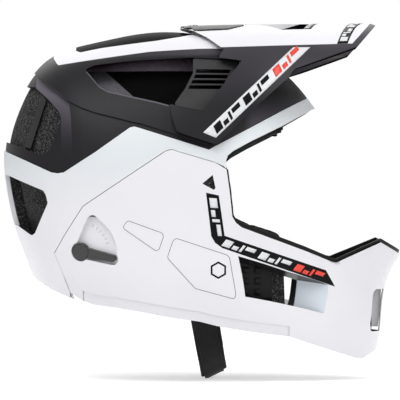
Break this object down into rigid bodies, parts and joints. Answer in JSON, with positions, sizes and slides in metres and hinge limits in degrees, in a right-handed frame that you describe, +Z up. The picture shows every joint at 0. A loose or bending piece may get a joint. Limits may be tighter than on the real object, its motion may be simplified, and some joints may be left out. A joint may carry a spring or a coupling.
{
  "type": "downhill bike full face helmet",
  "caption": "Full face downhill bike helmet with peaked visor, removable chin bar, vents, foam liner, pads and chin strap.",
  "frame": {"origin": "point midway between the wearer's ears, in the plane of symmetry", "axes": "+X forward out of the face, +Y to the wearer's left, +Z up"},
  "size_m": [0.3636, 0.2342, 0.3249],
  "materials": {
    "upper_shell": "matte",
    "lower_shell": "gloss",
    "chin_shell": "gloss",
    "visor_shell": "satin",
    "scoop": "matte",
    "foam": "matte",
    "dark_plastic": "matte",
    "grille": "matte",
    "trim": "matte",
    "pad": "matte",
    "webbing": "matte",
    "lever": "gloss",
    "screw": "satin",
    "cam": "matte"
  },
  "bodies": {
    "helmet": {"upper_shell": "upper_shell", "lower_shell": "lower_shell", "main_liner": "foam", "rear_vent_bars": "dark_plastic", "brow_trim": "trim", "vent_louver_left": "dark_plastic", "vent_louver_right": "dark_plastic", "visor_bush_left": "dark_plastic", "visor_bush_right": "dark_plastic", "brow_pad": "pad", "crown_pad": "pad", "nape_pad": "pad", "side_pad_left": "pad", "side_pad_right": "pad", "fit_band_left": "dark_plastic", "fit_band_right": "dark_plastic", "fit_cradle": "dark_plastic", "latch_post_left": "dark_plastic", "latch_post_right": "dark_plastic", "strap_anchors": "dark_plastic", "strap_front_left": "webbing", "strap_front_right": "webbing", "strap_rear_left": "webbing", "strap_rear_right": "webbing", "strap_slider_left": "dark_plastic", "strap_slider_right": "dark_plastic", "chin_strap_left": "webbing", "chin_strap_right": "webbing", "chin_sleeve": "pad", "buckle_body": "dark_plastic"},
    "visor": {"visor_shell": "visor_shell", "visor_scoop": "scoop", "visor_screw_left": "screw", "visor_screw_right": "screw"},
    "chin_bar": {"chin_bar_shell": "chin_shell", "chin_bar_foam": "foam", "eye_port_trim_left": "trim", "eye_port_trim_right": "trim", "mouth_grille": "grille", "ear_foam_left": "foam", "ear_foam_right": "foam", "cheek_foam_left": "foam", "cheek_foam_right": "foam", "cheek_pad_left": "pad", "cheek_pad_right": "pad"},
    "lever_right": {"lever_right": "lever", "lever_cam_right": "cam"},
    "lever_left": {"lever_left": "lever", "lever_cam_left": "cam"},
    "fit_dial": {"fit_dial": "dark_plastic"},
    "buckle_catch": {"buckle_catch": "dark_plastic"}
  },
  "joints": [
    {"name": "visor_tilt", "type": "hinge", "parent": "helmet", "child": "visor", "pos_m": [0.03713, 0, 0.08166], "axis": [0, 1, 0], "range_deg": [0, 10]},
    {"name": "chin_bar_slide", "type": "slide", "parent": "helmet", "child": "chin_bar", "axis": [0.5, 0, -0.866], "range_m": [0, 0.06]},
    {"name": "lever_right_turn", "type": "hinge", "parent": "chin_bar", "child": "lever_right", "pos_m": [-0.05864, -0.09646, -0.03591], "axis": [-0.3247, -0.9307, -0.1684], "range_deg": [0, 75]},
    {"name": "lever_left_turn", "type": "hinge", "parent": "chin_bar", "child": "lever_left", "pos_m": [-0.05864, 0.09646, -0.03591], "axis": [0.3247, -0.9307, 0.1684], "range_deg": [0, 75]},
    {"name": "fit_dial_turn", "type": "hinge", "parent": "helmet", "child": "fit_dial", "pos_m": [-0.0832, 0, -0.0388], "axis": [-0.9313, 0, -0.3642], "continuous": true},
    {"name": "buckle_slide", "type": "slide", "parent": "helmet", "child": "buckle_catch", "axis": [0.9848, 0, 0.1736], "range_m": [0, 0.01]}
  ]
}
